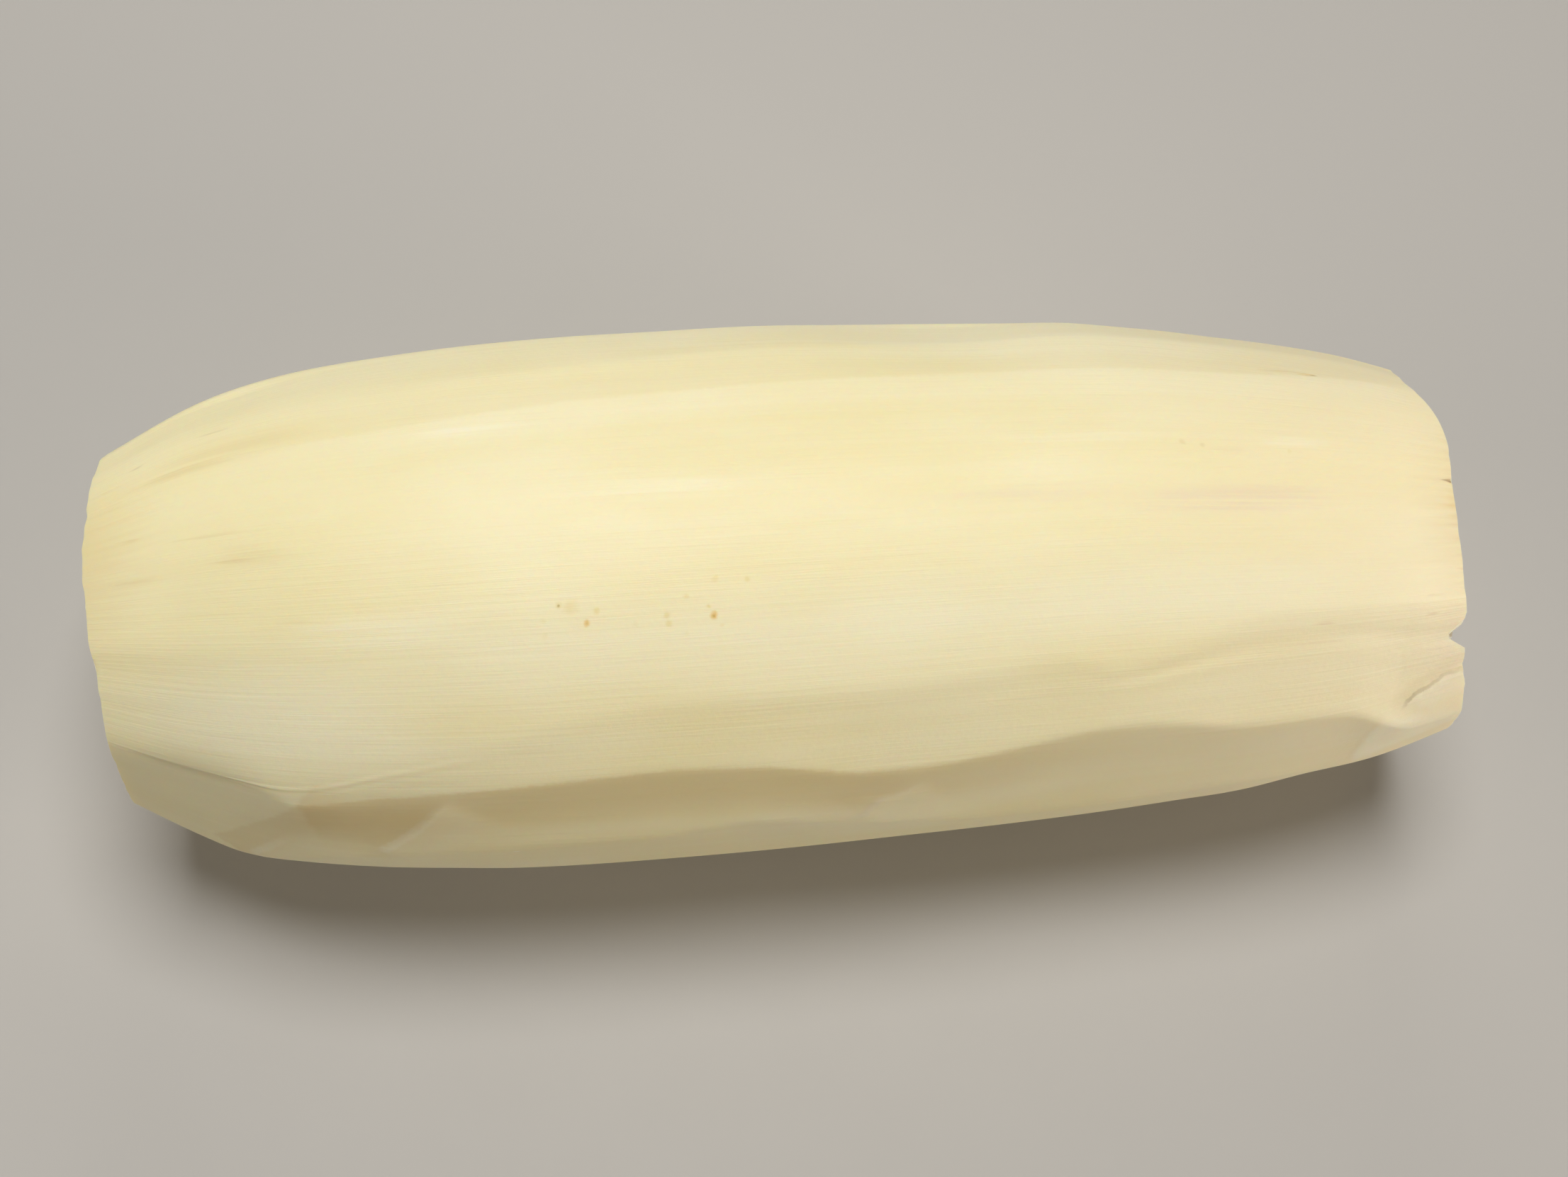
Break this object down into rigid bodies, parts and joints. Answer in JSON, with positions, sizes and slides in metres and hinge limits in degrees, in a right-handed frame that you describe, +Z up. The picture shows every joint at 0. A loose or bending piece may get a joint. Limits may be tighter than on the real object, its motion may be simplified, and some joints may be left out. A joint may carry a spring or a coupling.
{
  "type": "peeled lotus root",
  "caption": "One peeled segment of lotus root lying on its side, cut across at both ends, with long flat peeling strokes and air canals running right through it.",
  "frame": {"origin": "middle of the underside of the root's box, on the surface that it lies on", "axes": "+X along the root toward the end with the chipped rim, +Z up from the surface, +Y to the far side as seen in the picture"},
  "size_m": [0.1708, 0.0662, 0.0648],
  "materials": {
    "flesh": "moist peeled plant flesh, cream, satin"
  },
  "bodies": {
    "root": {"lotus_root": "flesh"}
  },
  "joints": []
}
